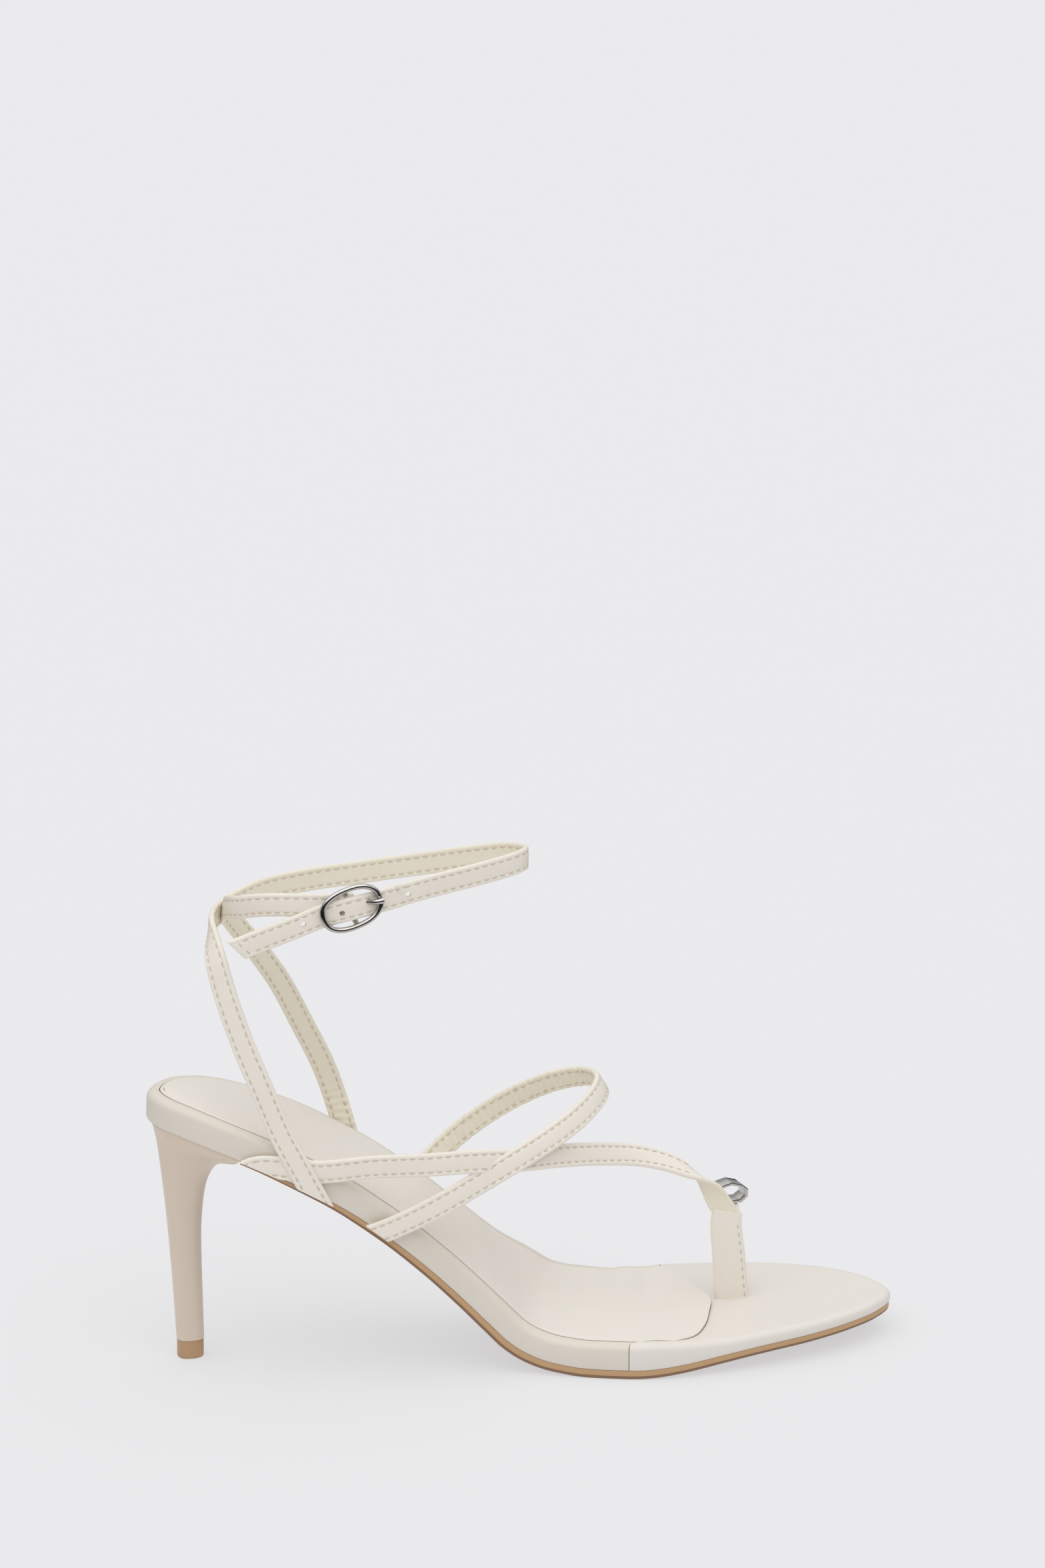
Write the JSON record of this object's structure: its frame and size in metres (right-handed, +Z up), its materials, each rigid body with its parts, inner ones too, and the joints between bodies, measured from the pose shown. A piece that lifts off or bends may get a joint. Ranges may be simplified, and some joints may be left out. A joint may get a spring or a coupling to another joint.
{
  "type": "heeled strap sandal",
  "caption": "Right toe-post sandal on a slim high heel, with an instep loop, crossed heel straps, a buckled ankle strap and a small metal ring on the post",
  "frame": {"origin": "on the floor, under the middle of the whole shoe's bounding box", "axes": "+X from the heel to the toe, +Y to the inner side of the foot, +Z up from the floor"},
  "size_m": [0.228, 0.0772, 0.1583],
  "materials": {
    "straps": "smooth cream faux leather",
    "wrap": "smooth cream faux leather",
    "sock": "soft matt lining",
    "heel_cover": "satin",
    "outsole": "matt tan",
    "top_piece": "matt tan",
    "silver": "polished"
  },
  "bodies": {
    "root": {"outsole": "outsole", "platform": "wrap", "sock_lining": "sock", "forepart_cover": "wrap", "heel": "heel_cover", "heel_tip": "top_piece", "upper": "straps", "buckle_frame": "silver", "buckle_prong": "silver", "toe_ring": "silver"}
  },
  "joints": []
}
